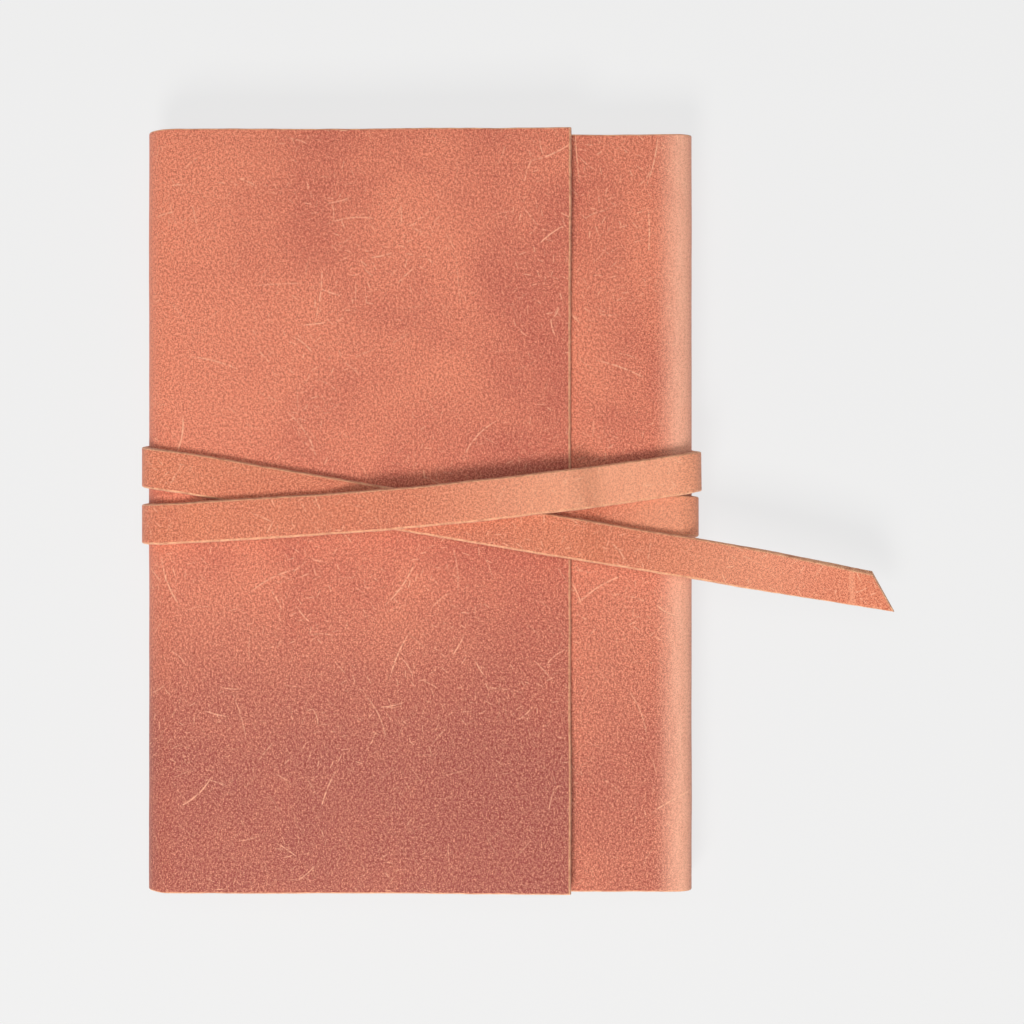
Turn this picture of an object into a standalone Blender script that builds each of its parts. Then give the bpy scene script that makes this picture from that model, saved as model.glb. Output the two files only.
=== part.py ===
"""A wrap-around leather notebook cover, closed over its notebook and tied with a wound leather strap.

Metres, +Z up. The cover lies on its back. X runs across it from the fore-edge fold to the spine, and Y
runs along the spine. The origin is under the middle of the closed cover, on the plane that it rests on.
One hide wraps the notebook. From its back panel, the spine and the front panel go one way round, and the
fore-edge fold and the flap go the other.
"""

from math import cos, pi, radians, sin

import bpy
from mathutils import Vector

# Driving dimensions
COVER_HEIGHT = 0.226
HIDE = 0.0020
GAP = 0.0003
FORE_EDGE_X = -0.0718  # centre line of the half-round fore-edge fold
SPINE_X = 0.0757  # where the spine's two corners begin
SPINE_RADIUS = 0.0050
FLAP_EDGE_X = 0.0441  # free edge of the flap
FRONT_EDGE_X = -0.0710  # free edge of the front panel, inside the fore-edge fold

STRAP_WIDTH = 0.0124
STRAP_THICKNESS = 0.0018
LAYER = STRAP_THICKNESS + GAP

NOTEBOOK_HEIGHT = 0.210
NOTEBOOK_EDGE_X = -0.0710
NOTEBOOK_SPINE_X = 0.0771
BOARD = 0.0010
BOARD_INSET = 0.0007  # the boards stop short of the spine's inner corners
SPINE_STRIP = 0.0007
SPINE_STRIP_INSET = 0.0015
SLEEVE = 0.0009
SIGNATURES = 6
BLOCK = 0.0082
PAGE_MARGIN = 0.0010
THREAD = 0.0006

# The stack, from the resting plane up
BACK_Z = LAYER
BACK_BOARD_Z = BACK_Z + HIDE + GAP
BACK_SLEEVE_Z = BACK_BOARD_Z + BOARD + GAP
BLOCK_Z = BACK_SLEEVE_Z + SLEEVE + GAP
FRONT_SLEEVE_Z = BLOCK_Z + BLOCK + GAP
FRONT_BOARD_Z = FRONT_SLEEVE_Z + SLEEVE + GAP
FRONT_Z = FRONT_BOARD_Z + BOARD + GAP
FLAP_Z = FRONT_Z + HIDE + GAP
FLAP_TOP = FLAP_Z + HIDE
FRONT_TOP = FRONT_Z + HIDE

# The fore-edge fold is half a tube, and the spine is a wall with two quarter-round corners
FOLD_RADIUS = (FLAP_TOP - BACK_Z) / 2
FOLD_Z = BACK_Z + FOLD_RADIUS
SPINE_LOW_Z = BACK_Z + SPINE_RADIUS
SPINE_HIGH_Z = FRONT_TOP - SPINE_RADIUS
SPINE_WALL = SPINE_HIGH_Z - SPINE_LOW_Z
QUARTER = pi / 2

# A crease that turns a quarter-round flat has its axis pi/4 of the middle radius out from the round's centre
FOLD_AXIS_OUT = (FOLD_RADIUS - HIDE / 2) * pi / 4
SPINE_AXIS_OUT = (SPINE_RADIUS - HIDE / 2) * pi / 4
PAGE_AXIS_Z = BLOCK_Z + BLOCK / 2
PAGE_AXIS_X = NOTEBOOK_SPINE_X + 0.0002

SLEEVE_X0 = -0.0660
SLEEVE_X1 = -0.0060
SLEEVE_END = 0.112  # half its length along Y
SLEEVE_SEAT = 0.1072  # beyond this half-length the sleeve is sewn down
SLEEVE_RISE = 0.1057  # within this half-length it spans the notebook's board
STITCH_Y = 0.1096

TAIL_ROOT_X = 0.0840
TAIL_TIP_X = 0.1375
TAIL_STEPS = 14
TAIL_DROOP = 0.0050
TAIL_TWIST = radians(32)
TAIL_SLANT = 0.0095  # the tip is cut on a slant, and its lower edge runs on by this much

COLLECTION = "leather_notebook_cover"


def clear_scene():
    for obj in list(bpy.data.objects):
        bpy.data.objects.remove(obj)


def material(name, color, roughness):
    made = bpy.data.materials.new(name)
    made.use_nodes = True
    shader = made.node_tree.nodes["Principled BSDF"]
    shader.inputs["Base Color"].default_value = (*color, 1.0)
    shader.inputs["Roughness"].default_value = roughness
    shader.inputs["Metallic"].default_value = 0.0
    return made


def body_empty(name, place, collection):
    """An empty on a body's joint axis, which carries the body's pieces."""
    empty = bpy.data.objects.new(name, None)
    empty.location = place
    empty.empty_display_size = 0.01
    collection.objects.link(empty)
    return empty


def place_in(obj, collection, body, finish):
    """Moves a piece into the part's collection, gives it its material and hangs it on its body."""
    for other in obj.users_collection:
        other.objects.unlink(obj)
    collection.objects.link(obj)
    obj.data.materials.append(finish)
    if body is not None:
        bpy.context.view_layer.update()
        obj.parent = body
        obj.matrix_parent_inverse = body.matrix_world.inverted()
    return obj


def bevelled(obj, width, segments=1):
    bevel = obj.modifiers.new("rounded_edges", "BEVEL")
    bevel.width = width
    bevel.segments = segments
    bevel.limit_method = "ANGLE"
    return obj


def plate(name, x0, x1, half_height, z0, z1, edge):
    """A flat rectangular sheet."""
    bpy.ops.mesh.primitive_cube_add(size=1.0)
    obj = bpy.context.object
    obj.name = name
    obj.dimensions = (x1 - x0, 2 * half_height, z1 - z0)
    obj.location = ((x0 + x1) / 2, 0.0, (z0 + z1) / 2)
    bpy.ops.object.transform_apply(location=True, rotation=False, scale=True)
    return bevelled(obj, edge)


def mesh_object(name, vertices, faces):
    mesh = bpy.data.meshes.new(name)
    mesh.from_pydata([tuple(v) for v in vertices], [], faces)
    mesh.update()
    obj = bpy.data.objects.new(name, mesh)
    bpy.context.scene.collection.objects.link(obj)
    return obj


def thicken(obj, thickness, outward):
    solid = obj.modifiers.new("thickness", "SOLIDIFY")
    solid.thickness = thickness
    solid.offset = 1.0 if outward else -1.0
    solid.use_even_offset = True
    return obj


def ribbon(name, rails, thickness, outward):
    """An open strip through pairs of edge points, made solid."""
    vertices = [point for pair in rails for point in pair]
    faces = [(2 * i, 2 * i + 2, 2 * i + 3, 2 * i + 1) for i in range(len(rails) - 1)]
    obj = thicken(mesh_object(name, vertices, faces), thickness, outward)
    obj.data.shade_smooth()
    obj.data.set_sharp_from_angle(angle=radians(35))
    return obj


def swept(name, outline, half_height, thickness):
    """A hide wall: an (x, z) outline, clockwise as seen from -Y, drawn out along Y and thickened inwards."""
    rails = [(Vector((x, -half_height, z)), Vector((x, half_height, z))) for x, z in outline]
    return ribbon(name, rails, thickness, outward=False)


def arc(x, z, radius, start, end, steps):
    """Points on an arc in XZ, with angles from +X towards +Z."""
    angles = (start + (end - start) * i / steps for i in range(steps + 1))
    return [(x + radius * cos(a), z + radius * sin(a)) for a in angles]


def ease(value, start, end):
    """0 before start, 1 after end and a smooth step between."""
    part = min(max((value - start) / (end - start), 0.0), 1.0)
    return part * part * (3.0 - 2.0 * part)


def through(points, at):
    """The height at a place, on a smooth curve through (place, height) points."""
    last = len(points) - 1
    i = max(k for k in range(last) if points[k][0] <= at or k == 0)
    (x0, y0), (x1, y1) = points[i], points[i + 1]
    xa, ya = points[max(i - 1, 0)]
    xb, yb = points[min(i + 2, last)]
    slope0 = (y1 - ya) / (x1 - xa)
    slope1 = (yb - y0) / (xb - x0)
    t = (at - x0) / (x1 - x0)
    span = x1 - x0
    return (
        (2 * t**3 - 3 * t**2 + 1) * y0
        + (t**3 - 2 * t**2 + t) * span * slope0
        + (3 * t**2 - 2 * t**3) * y1
        + (t**3 - t**2) * span * slope1
    )


# The strap's route. Its places are measured along the closed cover's girth, in the direction that it is
# wound: across the front, down round the spine, back under the cover, and up round the fore-edge fold.
ACROSS = SPINE_X - FORE_EDGE_X
CORNER = SPINE_RADIUS * QUARTER
SPINE_TURN = 2 * CORNER + SPINE_WALL
FOLD_TURN = FOLD_RADIUS * pi
LAP = 2 * ACROSS + SPINE_TURN + FOLD_TURN
STEP_DOWN = (FLAP_EDGE_X + 0.0010, FLAP_EDGE_X + 0.0115)

# Where the strap climbs onto its own earlier turns and comes off them, along each run's own start
ONTO_FIRST_FOLD_TURN = (0.0010, 0.0100)
ONTO_ROOT = (0.0440, 0.0560)
OFF_ROOT = (0.1140, 0.1240)
DOWN_TO_SPINE = (ACROSS + 0.25 * CORNER, ACROSS + 1.3 * CORNER)
UNDER_ONTO_ROOT = (0.0580, 0.0700)

ROOT_PLACE = 0.0750
UNDER_START = 2 * LAP
TAIL_PLACE = UNDER_START + TAIL_ROOT_X - FORE_EDGE_X

# (place, distance up the cover) through the first lap, the second and the tucked run
HEIGHTS = [
    (ROOT_PLACE, 0.0014),
    (0.1150, 0.0003),
    (ACROSS, -0.0013),
    (ACROSS + SPINE_TURN / 2, -0.0019),
    (ACROSS + SPINE_TURN, -0.0023),
    (2 * ACROSS + SPINE_TURN, -0.0033),
    (LAP - FOLD_TURN / 2, -0.0038),
    (LAP, -0.0036),
    (LAP + 0.0640, 0.0006),
    (LAP + 0.1145, 0.0060),
    (LAP + ACROSS, 0.0106),
    (LAP + ACROSS + CORNER / 2, 0.0116),
    (LAP + ACROSS + SPINE_TURN, 0.0123),
    (2 * LAP - FOLD_TURN, 0.0136),
    (2 * LAP - FOLD_TURN / 2, 0.0133),
    (UNDER_START, 0.0115),
    (UNDER_START + 0.0700, -0.0004),
    (UNDER_START + ACROSS, -0.0132),
    (UNDER_START + 0.2070, -0.0232),
]


def front_height(x):
    """The outer face of the leather on the front, which steps down from the flap to the front panel."""
    return FLAP_TOP + (FRONT_TOP - FLAP_TOP) * ease(x, *STEP_DOWN)


def lift(place):
    """How far the strap is raised over its own earlier turns, a layer at a time."""
    over = place - LAP
    under = place - UNDER_START
    if under >= 0.0:
        return LAYER * ease(under, *UNDER_ONTO_ROOT)
    if over >= 0.0:
        layers = ease(over, *ONTO_FIRST_FOLD_TURN) - ease(over, *DOWN_TO_SPINE)
        layers += ease(over, *ONTO_ROOT) - ease(over, *OFF_ROOT)
        return LAYER * layers
    return 0.0


def girth(place):
    """(x, z, normal x, normal z) of the strap's inner face at a place along its route."""
    off = GAP + lift(place)
    along = place % LAP if place < UNDER_START else place - UNDER_START
    if along <= ACROSS or place >= UNDER_START:
        x = FORE_EDGE_X + along
        return x, front_height(x) + off, 0.0, 1.0
    along -= ACROSS
    if along <= SPINE_TURN:
        if along <= CORNER:
            turn = QUARTER - along / SPINE_RADIUS
            z = SPINE_HIGH_Z
        elif along <= CORNER + SPINE_WALL:
            turn = 0.0
            z = SPINE_HIGH_Z - (along - CORNER)
        else:
            turn = -(along - CORNER - SPINE_WALL) / SPINE_RADIUS
            z = SPINE_LOW_Z
        radius = SPINE_RADIUS + off
        return SPINE_X + radius * cos(turn), z + radius * sin(turn), cos(turn), sin(turn)
    along -= SPINE_TURN
    if along <= ACROSS:
        return SPINE_X - along, BACK_Z - off, 0.0, -1.0
    turn = -QUARTER - (along - ACROSS) / FOLD_RADIUS
    radius = FOLD_RADIUS + off
    return FORE_EDGE_X + radius * cos(turn), FOLD_Z + radius * sin(turn), cos(turn), sin(turn)


def strap_centre(place):
    x, z, _, _ = girth(place)
    return Vector((x, through(HEIGHTS, place), z))


def strap_rails(place):
    """The strap's two edges at a place, on its inner face."""
    _, _, nx, nz = girth(place)
    step = 0.0002
    heading = (strap_centre(place + step) - strap_centre(place - step)).normalized()
    normal = Vector((nx, 0.0, nz))
    side = normal.cross(heading).normalized() * STRAP_WIDTH / 2
    centre = strap_centre(place)
    return centre - side, centre + side


def strap_piece(name, start, end, spacing):
    """One stretch of the strap, a hair short at each end so that it stays clear of the next."""
    start += GAP / 2
    end -= GAP / 2
    count = max(2, round((end - start) / spacing))
    rails = [strap_rails(start + (end - start) * i / count) for i in range(count + 1)]
    return ribbon(name, rails, STRAP_THICKNESS, outward=True)


def strap_tail(name):
    """The free end, which droops, twists a little and is cut on a slant."""
    start = strap_centre(TAIL_PLACE + GAP / 2)
    end = strap_centre(UNDER_START + TAIL_TIP_X - FORE_EDGE_X)
    heading = (end - start).normalized()
    across = Vector((0.0, 0.0, 1.0)).cross(heading)
    rails = []
    for i in range(TAIL_STEPS + 1):
        t = i / TAIL_STEPS
        twist = TAIL_TWIST * ease(t, -0.2, 1.1)
        side = (across * cos(twist) + Vector((0.0, 0.0, 1.0)) * sin(twist)) * STRAP_WIDTH / 2
        centre = start.lerp(end, t) - Vector((0.0, 0.0, TAIL_DROOP * t * t))
        slant = heading * TAIL_SLANT / 2 * t**6
        rails.append((centre - side + slant, centre + side - slant))
    return ribbon(name, rails, STRAP_THICKNESS, outward=True)


def sleeve(name, low, seat, faces_up):
    """A leather band over a board of the notebook, sewn to the cover at its two ends. low is its height over
    the board and seat its height at the sewn ends, both for its face on the cover's side."""
    outline = [(-SLEEVE_END, seat), (-SLEEVE_SEAT, seat), (-SLEEVE_RISE, low)]
    outline += [(SLEEVE_RISE, low), (SLEEVE_SEAT, seat), (SLEEVE_END, seat)]
    rails = [(Vector((SLEEVE_X1, y, z)), Vector((SLEEVE_X0, y, z))) for y, z in outline]
    if not faces_up:
        rails = [(b, a) for a, b in rails]
    return bevelled(ribbon(name, rails, SLEEVE, outward=True), 0.0002)


def thread(name, y, z):
    """A row of sewing along one end of a sleeve."""
    curve = bpy.data.curves.new(name, "CURVE")
    curve.dimensions = "3D"
    curve.bevel_depth = THREAD / 2
    curve.bevel_resolution = 2
    curve.use_fill_caps = True
    line = curve.splines.new("POLY")
    inset = 0.002
    ends = (SLEEVE_X0 + inset, SLEEVE_X1 - inset)
    line.points.add(1)
    for point, x in zip(line.points, ends):
        point.co = (x, y, z, 1.0)
    obj = bpy.data.objects.new(name, curve)
    bpy.context.scene.collection.objects.link(obj)
    return obj


def hide_pieces(collection, bodies, leather):
    half = COVER_HEIGHT / 2
    edge = 0.0004
    trim = 2 * GAP  # the folds' end faces lean a little towards the flat panels
    back = plate("back_panel", FORE_EDGE_X + trim, SPINE_X - trim, half, BACK_Z, BACK_Z + HIDE, edge)
    place_in(back, collection, None, leather)
    front = plate("front_panel", FRONT_EDGE_X, SPINE_X - trim, half, FRONT_Z, FRONT_TOP, edge)
    place_in(front, collection, bodies["front"], leather)
    flap = plate("flap_panel", FORE_EDGE_X + trim, FLAP_EDGE_X, half, FLAP_Z, FLAP_TOP, edge)
    place_in(flap, collection, bodies["flap"], leather)

    fold = arc(FORE_EDGE_X, FOLD_Z, FOLD_RADIUS, 1.5 * pi, QUARTER, 24)
    fore_edge = swept("fore_edge_fold", fold, half, HIDE)
    place_in(fore_edge, collection, bodies["fore_edge"], leather)
    high = arc(SPINE_X, SPINE_HIGH_Z, SPINE_RADIUS, QUARTER, 0.0, 6)
    low = arc(SPINE_X, SPINE_LOW_Z, SPINE_RADIUS, 0.0, -QUARTER, 6)
    spine = swept("spine_panel", high + low, half, HIDE)
    place_in(spine, collection, bodies["spine"], leather)


def inside_pieces(collection, bodies, lining, sewing):
    back = sleeve("back_sleeve", BACK_SLEEVE_Z, BACK_BOARD_Z, faces_up=True)
    place_in(back, collection, None, lining)
    front_face = FRONT_SLEEVE_Z + SLEEVE
    front = sleeve("front_sleeve", front_face, FRONT_Z - GAP, faces_up=False)
    place_in(front, collection, bodies["front"], lining)
    clear = SLEEVE + GAP + THREAD / 2
    for end, y in (("top", STITCH_Y), ("bottom", -STITCH_Y)):
        row = thread(f"back_sleeve_stitching_{end}", y, BACK_BOARD_Z + clear)
        place_in(row, collection, None, sewing)
        row = thread(f"front_sleeve_stitching_{end}", y, FRONT_Z - GAP - clear)
        place_in(row, collection, bodies["front"], sewing)


def notebook_pieces(collection, bodies, board, paper):
    half = NOTEBOOK_HEIGHT / 2
    edge = 0.0002
    right = NOTEBOOK_SPINE_X
    boards = (
        ("notebook_back_board", BACK_BOARD_Z, None),
        ("notebook_front_board", FRONT_BOARD_Z, bodies["front"]),
    )
    for name, z, body in boards:
        piece = plate(name, NOTEBOOK_EDGE_X, right - BOARD_INSET, half, z, z + BOARD, edge)
        place_in(piece, collection, body, board)
    strip_x = right + GAP
    low, high = BACK_BOARD_Z + SPINE_STRIP_INSET, FRONT_BOARD_Z + BOARD - SPINE_STRIP_INSET
    spine = plate("notebook_spine", strip_x, strip_x + SPINE_STRIP, half, low, high, edge)
    place_in(spine, collection, bodies["spine"], board)

    pitch = (BLOCK + GAP) / SIGNATURES
    for i in range(SIGNATURES):
        z = BLOCK_Z + i * pitch
        name = f"page_signature_{i + 1}"
        x0 = NOTEBOOK_EDGE_X + 2 * PAGE_MARGIN
        folded = plate(name, x0, right, half - PAGE_MARGIN, z, z + pitch - GAP, edge)
        turning = i >= SIGNATURES / 2
        place_in(folded, collection, bodies["pages"] if turning else None, paper)


def strap_pieces(collection, bodies, leather):
    flat, round_ = 0.006, 0.0016
    corner_1, corner_2 = ACROSS, LAP + ACROSS
    back_1, back_2 = corner_1 + SPINE_TURN, corner_2 + SPINE_TURN
    stretches = [
        ("strap_root_run", ROOT_PLACE, corner_1, 0.003),
        ("strap_spine_turn_1", corner_1, back_1, round_),
        ("strap_back_run_1", back_1, back_1 + ACROSS, flat),
        ("strap_fold_turn_1", back_1 + ACROSS, LAP, round_),
        ("strap_over_run", LAP, corner_2, 0.002),
        ("strap_spine_turn_2", corner_2, back_2, round_),
        ("strap_back_run_2", back_2, back_2 + ACROSS, flat),
        ("strap_fold_turn_2", back_2 + ACROSS, UNDER_START, round_),
        ("strap_under_run", UNDER_START, TAIL_PLACE, 0.003),
    ]
    for name, start, end, spacing in stretches:
        place_in(strap_piece(name, start, end, spacing), collection, bodies["strap"], leather)
    place_in(strap_tail("strap_tail"), collection, bodies["strap_tail"], leather)


def joint_bodies(collection):
    """Empties on the joint axes. Each fold has two creases, one beside the back and one beside the front."""
    fold_x = FORE_EDGE_X - FOLD_AXIS_OUT
    spine_x = SPINE_X + SPINE_AXIS_OUT
    tail = strap_centre(TAIL_PLACE)
    places = {
        "fore_edge": (fold_x, 0.0, FOLD_Z - FOLD_AXIS_OUT),
        "flap": (fold_x, 0.0, FOLD_Z + FOLD_AXIS_OUT),
        "spine": (spine_x, 0.0, SPINE_LOW_Z - SPINE_AXIS_OUT),
        "front": (spine_x, 0.0, SPINE_HIGH_Z + SPINE_AXIS_OUT),
        "pages": (PAGE_AXIS_X, 0.0, PAGE_AXIS_Z),
        "strap": (0.0, 0.0, 0.0),
        "strap_tail": (tail.x, tail.y, tail.z + STRAP_THICKNESS / 2),
    }
    return {name: body_empty(f"{name}_axis", place, collection) for name, place in places.items()}


def main():
    clear_scene()
    collection = bpy.data.collections.new(COLLECTION)
    bpy.context.scene.collection.children.link(collection)
    leather = material("cover_leather", (0.62, 0.24, 0.15), 0.62)
    strap = material("strap_leather", (0.68, 0.29, 0.18), 0.6)
    lining = material("sleeve_leather", (0.48, 0.19, 0.12), 0.7)
    sewing = material("thread", (0.45, 0.27, 0.17), 0.55)
    board = material("notebook_board", (0.09, 0.075, 0.065), 0.6)
    paper = material("paper", (0.86, 0.83, 0.75), 0.85)
    bodies = joint_bodies(collection)
    hide_pieces(collection, bodies, leather)
    inside_pieces(collection, bodies, lining, sewing)
    notebook_pieces(collection, bodies, board, paper)
    strap_pieces(collection, bodies, strap)


main()
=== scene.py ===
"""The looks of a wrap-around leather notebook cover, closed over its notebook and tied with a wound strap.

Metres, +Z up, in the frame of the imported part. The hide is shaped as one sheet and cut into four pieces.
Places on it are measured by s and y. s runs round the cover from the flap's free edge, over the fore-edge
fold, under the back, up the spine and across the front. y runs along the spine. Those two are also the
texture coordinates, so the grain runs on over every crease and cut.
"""

import random
from math import cos, pi, radians, sin, sqrt

import bmesh
import bpy
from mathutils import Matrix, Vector, noise


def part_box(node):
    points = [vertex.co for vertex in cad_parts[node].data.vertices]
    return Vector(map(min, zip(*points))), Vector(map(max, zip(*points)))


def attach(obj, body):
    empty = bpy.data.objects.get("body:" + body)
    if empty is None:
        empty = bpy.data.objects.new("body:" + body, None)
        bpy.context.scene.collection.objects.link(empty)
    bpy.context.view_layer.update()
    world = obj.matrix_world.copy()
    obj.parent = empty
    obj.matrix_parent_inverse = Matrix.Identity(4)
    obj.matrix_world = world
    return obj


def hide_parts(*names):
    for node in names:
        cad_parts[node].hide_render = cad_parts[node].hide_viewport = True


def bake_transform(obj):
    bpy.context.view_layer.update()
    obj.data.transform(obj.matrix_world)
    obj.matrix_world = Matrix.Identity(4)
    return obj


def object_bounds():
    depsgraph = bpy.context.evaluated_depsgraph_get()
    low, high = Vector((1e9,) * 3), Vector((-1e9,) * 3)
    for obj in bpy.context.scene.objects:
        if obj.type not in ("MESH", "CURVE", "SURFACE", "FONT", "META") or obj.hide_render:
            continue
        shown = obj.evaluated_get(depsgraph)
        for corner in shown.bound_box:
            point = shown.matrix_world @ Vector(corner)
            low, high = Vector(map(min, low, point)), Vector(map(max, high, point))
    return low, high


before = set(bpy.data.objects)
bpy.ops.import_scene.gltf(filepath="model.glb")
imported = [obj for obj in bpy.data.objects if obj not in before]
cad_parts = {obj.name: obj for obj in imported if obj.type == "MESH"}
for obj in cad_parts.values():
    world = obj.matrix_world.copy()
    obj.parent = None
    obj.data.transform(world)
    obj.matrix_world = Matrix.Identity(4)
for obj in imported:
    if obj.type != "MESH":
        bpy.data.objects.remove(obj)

CAD_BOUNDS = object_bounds()

# The hide, read from the frame
BACK_LOW, BACK_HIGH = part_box("back_panel")
_, FLAP_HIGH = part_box("flap_panel")
FRONT_LOW, FRONT_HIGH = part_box("front_panel")
FOLD_LOW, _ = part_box("fore_edge_fold")
_, SPINE_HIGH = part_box("spine_panel")

HALF = BACK_HIGH.y
BACK_Z = BACK_LOW.z
HIDE = BACK_HIGH.z - BACK_LOW.z
FLAP_TOP = FLAP_HIGH.z
FLAP_EDGE_X = FLAP_HIGH.x
FRONT_TOP = FRONT_HIGH.z
FRONT_EDGE_X = FRONT_LOW.x
FOLD_RADIUS = (FLAP_TOP - BACK_Z) / 2
FOLD_Z = BACK_Z + FOLD_RADIUS
FORE_EDGE_X = FOLD_LOW.x + FOLD_RADIUS
SPINE_RADIUS = 0.0050
SPINE_X = SPINE_HIGH.x - SPINE_RADIUS
SPINE_LOW_Z = BACK_Z + SPINE_RADIUS
SPINE_HIGH_Z = FRONT_TOP - SPINE_RADIUS
SPINE_WALL = SPINE_HIGH_Z - SPINE_LOW_Z
QUARTER = pi / 2

# Lengths round the hide, and where each stretch of it starts
ACROSS = SPINE_X - FORE_EDGE_X
CORNER = SPINE_RADIUS * QUARTER
FOLD_TURN = FOLD_RADIUS * pi
SPINE_TURN = 2 * CORNER + SPINE_WALL
S_FOLD = FLAP_EDGE_X - FORE_EDGE_X
S_BACK = S_FOLD + FOLD_TURN
S_SPINE = S_BACK + ACROSS
S_FRONT = S_SPINE + SPINE_TURN
S_END = S_FRONT + SPINE_X - FRONT_EDGE_X

# How the hide is cut and meshed, and how its flap lies
EDGE_ROUND = 0.0004
FLAT_STEP = 0.0022
CURVE_STEP = 0.0007
HEAD_SHORT = 0.0013  # the hide's cut edge is that much shorter at the head of the front panel
FLAP_LIFT_HEAD = 0.0022  # the flap's free corners stand off the front panel by these
FLAP_LIFT_FOOT = 0.0028
HAND_CUT = 0.00018  # a hand-cut edge wanders by this

# The strap, whose route repeats the one in the frame
GAP = 0.0003
STRAP_WIDTH = 0.0124
STRAP_THICKNESS = 0.0018
LAYER = STRAP_THICKNESS + GAP
STEP_DOWN = (FLAP_EDGE_X + 0.0010, FLAP_EDGE_X + 0.0115)
ONTO_FIRST_FOLD_TURN = (0.0010, 0.0100)
ONTO_ROOT = (0.0440, 0.0560)
OFF_ROOT = (0.1140, 0.1240)
DOWN_TO_SPINE = (ACROSS + 0.25 * CORNER, ACROSS + 1.3 * CORNER)
UNDER_ONTO_ROOT = (0.0580, 0.0700)
LAP = 2 * ACROSS + SPINE_TURN + FOLD_TURN
UNDER_START = 2 * LAP
ROOT_PLACE = 0.0750
TAIL_ROOT_X = 0.0840
TAIL_TIP_X = 0.1375
TAIL_PLACE = UNDER_START + TAIL_ROOT_X - FORE_EDGE_X
TAIL_LENGTH = UNDER_START + TAIL_TIP_X - FORE_EDGE_X - TAIL_PLACE
TAIL_DROOP = 0.0050
TAIL_TWIST = radians(32)
TAIL_SLANT = 0.0095
STRAP_STEP = 0.0008
STRAP_ACROSS_STEP = 0.0016
CUT_SLANT = 0.00035  # the strap is that much narrower at each edge of its outer face
FIBRES_PER_METRE = 1100
FIBRE_LENGTH = (0.0004, 0.0013)
FIBRE_RADIUS = (0.00003, 0.00006)

# (place, distance up the cover) through the first lap, the second and the tucked run
HEIGHTS = [
    (ROOT_PLACE, 0.0014),
    (0.1150, 0.0003),
    (ACROSS, -0.0013),
    (ACROSS + SPINE_TURN / 2, -0.0019),
    (ACROSS + SPINE_TURN, -0.0023),
    (2 * ACROSS + SPINE_TURN, -0.0033),
    (LAP - FOLD_TURN / 2, -0.0038),
    (LAP, -0.0036),
    (LAP + 0.0640, 0.0006),
    (LAP + 0.1145, 0.0060),
    (LAP + ACROSS, 0.0106),
    (LAP + ACROSS + CORNER / 2, 0.0116),
    (LAP + ACROSS + SPINE_TURN, 0.0123),
    (2 * LAP - FOLD_TURN, 0.0136),
    (2 * LAP - FOLD_TURN / 2, 0.0133),
    (UNDER_START, 0.0115),
    (UNDER_START + 0.0700, -0.0004),
    (UNDER_START + ACROSS, -0.0132),
    (UNDER_START + 0.2070, -0.0232),
]

# (place, reach, amount) of wax that bending has paled, and of painted highlight, on the hide and on the
# strap
COVER_PALE_WAX_AND_HIGHLIGHT = (
    # pale wax at the spine's front corner, with a painted highlight along its rounded edge
    (S_FRONT - 0.3 * CORNER, 0.0098, 0.9),
    (S_SPINE, 0.008, 0.5),
)
STRAP_PALE_WAX_AND_HIGHLIGHT = (
    # pale wax where the strap turns round the spine, with a painted highlight on the turn
    (ACROSS, 0.030, 0.45),
    # painted highlight on the strap's outer run, where it slopes down towards the spine
    (LAP + 0.130, 0.070, 0.70),
    # painted highlight near the root of the free end
    (TAIL_PLACE + 0.012, 0.040, 0.30),
    (TAIL_PLACE + 0.82 * TAIL_LENGTH, 0.0014, 0.4),
)

# The leather sleeves inside, which step down from the notebook's boards to the hide near their ends
SLEEVE = 0.0009
SLEEVE_END = 0.112
SLEEVE_SEAT = 0.1072
SLEEVE_RISE = 0.1057
SLEEVE_STEP = 0.003
SLEEVE_CLOSE_STEP = 0.0003
SLEEVE_WAVE = 0.00006

# The camera looks straight down
CAMERA_X = 0.0270
CAMERA_Y = -0.0003
CAMERA_ABOVE_FLAP = 0.600
VIEW_WIDTH = 0.3025  # across the picture, at the flap
SENSOR_MM = 36.0
NEAREST_SEEN = 0.01

# The studio
KEY_PLACE = (-0.24, -0.84, 1.12)
KEY_SIZE = 0.50
KEY_POWER = 15.6
KEY_COLOUR = (1.0, 0.985, 0.965)
OVERHEAD_PLACE = (0.0, 0.1, 1.6)
OVERHEAD_SIZE = 1.1
OVERHEAD_POWER = 7.6
WHITE = (1.0, 1.0, 1.0)
FLOOR_SIZE = 8.0
FLOOR_GREY = (0.12, 0.12, 0.12)
FLOOR_GLOW = 0.745
# The sky is pale near the horizon and dim higher up: the sines of the two heights, and the two strengths
SKY_FALL = (0.12, 0.34, 0.86, 0.12)


# ---------------------------------------------------------------- shaping helpers


def ease(value, start, end):
    """0 before start, 1 after end and a smooth step between."""
    part = min(max((value - start) / (end - start), 0.0), 1.0)
    return part * part * (3.0 - 2.0 * part)


def through(points, at):
    """The height at a place, on a smooth curve through (place, height) points."""
    last = len(points) - 1
    i = max(k for k in range(last) if points[k][0] <= at or k == 0)
    (x0, y0), (x1, y1) = points[i], points[i + 1]
    xa, ya = points[max(i - 1, 0)]
    xb, yb = points[min(i + 2, last)]
    slope0 = (y1 - ya) / (x1 - xa)
    slope1 = (yb - y0) / (xb - x0)
    t = (at - x0) / (x1 - x0)
    span = x1 - x0
    return (
        (2 * t**3 - 3 * t**2 + 1) * y0
        + (t**3 - 2 * t**2 + t) * span * slope0
        + (3 * t**2 - 2 * t**3) * y1
        + (t**3 - t**2) * span * slope1
    )


def wander(along, wavelength, seed):
    """Smooth noise along a line, between about -1 and 1."""
    return noise.noise(Vector((along / wavelength, seed, 0.5 * seed)))


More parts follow.
